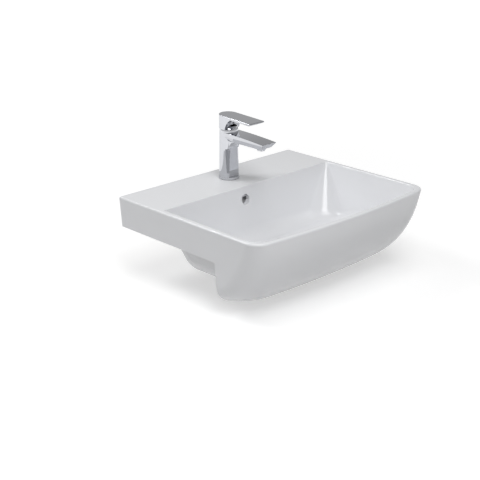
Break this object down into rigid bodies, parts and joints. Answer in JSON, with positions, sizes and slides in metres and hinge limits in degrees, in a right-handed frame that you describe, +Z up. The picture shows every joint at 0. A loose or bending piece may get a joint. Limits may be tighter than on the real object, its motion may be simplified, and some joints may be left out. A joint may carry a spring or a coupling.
{
  "type": "semi-recessed countertop basin with mixer tap",
  "caption": "Rectangular semi-recessed ceramic washbasin with a wide tap deck, a rounded front skirt, a single-lever mixer tap and a push-to-open waste.",
  "frame": {"origin": "middle of the wall edge at counter-top level, in the plane of the basin's back face", "axes": "+Z up, -Y towards the user, +X to the user's right; +Y is the outward normal of the wall face"},
  "size_m": [0.5494, 0.455, 0.3544],
  "materials": {
    "glaze": "white gloss glaze",
    "tap_chrome": "polished chrome plate on brass",
    "waste_chrome": "polished chrome plate on brass",
    "plain_brass": "machined brass",
    "plain_steel": "plain stainless steel",
    "disc_ceramic": "lapped ceramic",
    "grey_plastic": "moulded grey plastic",
    "white_plastic": "moulded white plastic",
    "black_rubber": "moulded rubber"
  },
  "bodies": {
    "basin": {"basin_body": "glaze", "wall_bushes": "white_plastic", "tap_body": "tap_chrome", "tap_base_ring": "tap_chrome", "tap_base_seal": "black_rubber", "cartridge_base": "grey_plastic", "cartridge_port_seals": "black_rubber", "fixed_disc": "disc_ceramic", "cartridge_body": "grey_plastic", "cartridge_nut": "plain_brass", "cartridge_cover": "tap_chrome", "aerator_shell": "tap_chrome", "aerator_insert": "grey_plastic", "aerator_washer": "black_rubber", "mounting_stud": "plain_steel", "horseshoe_gasket": "black_rubber", "horseshoe_plate": "plain_steel", "stud_nut": "plain_brass", "waste_body": "waste_chrome", "waste_top_washer": "black_rubber", "waste_bottom_washer": "black_rubber", "waste_slip_washer": "white_plastic", "waste_backnut": "plain_brass", "click_barrel": "white_plastic", "click_cap": "white_plastic", "plug_spring": "plain_steel"},
    "swivel": {"stem_carrier": "white_plastic", "stem_pin": "plain_steel"},
    "lever": {"cartridge_stem": "plain_steel", "lever_handle": "tap_chrome", "lever_set_screw": "plain_steel", "lever_plug": "grey_plastic"},
    "disc": {"moving_disc": "disc_ceramic", "disc_carrier": "grey_plastic"},
    "plug": {"plug_rod": "white_plastic", "plug_cap": "waste_chrome", "plug_seal": "black_rubber"}
  },
  "joints": [
    {"name": "lever_swivel", "type": "hinge", "parent": "basin", "child": "swivel", "pos_m": [0, -0.07, 0.186], "axis": [0, 0, 1], "range_deg": [-50, 50]},
    {"name": "lever_lift", "type": "hinge", "parent": "swivel", "child": "lever", "pos_m": [0, -0.07, 0.186], "axis": [-1, 0, 0], "range_deg": [0, 25]},
    {"name": "disc_slide", "type": "slide", "parent": "swivel", "child": "disc", "axis": [0, -1, 0], "range_m": [0, 0.0052]},
    {"name": "plug_travel", "type": "slide", "parent": "basin", "child": "plug", "axis": [0, 0, 1], "range_m": [-0.0087, 0], "stiffness_N_per_m": 300, "springref_m": 0.006, "deforming": ["plug_spring"]}
  ],
  "couplings": [
    {"joint": "disc_slide", "follows": "lever_lift", "m_per_rad": 0.0118}
  ]
}
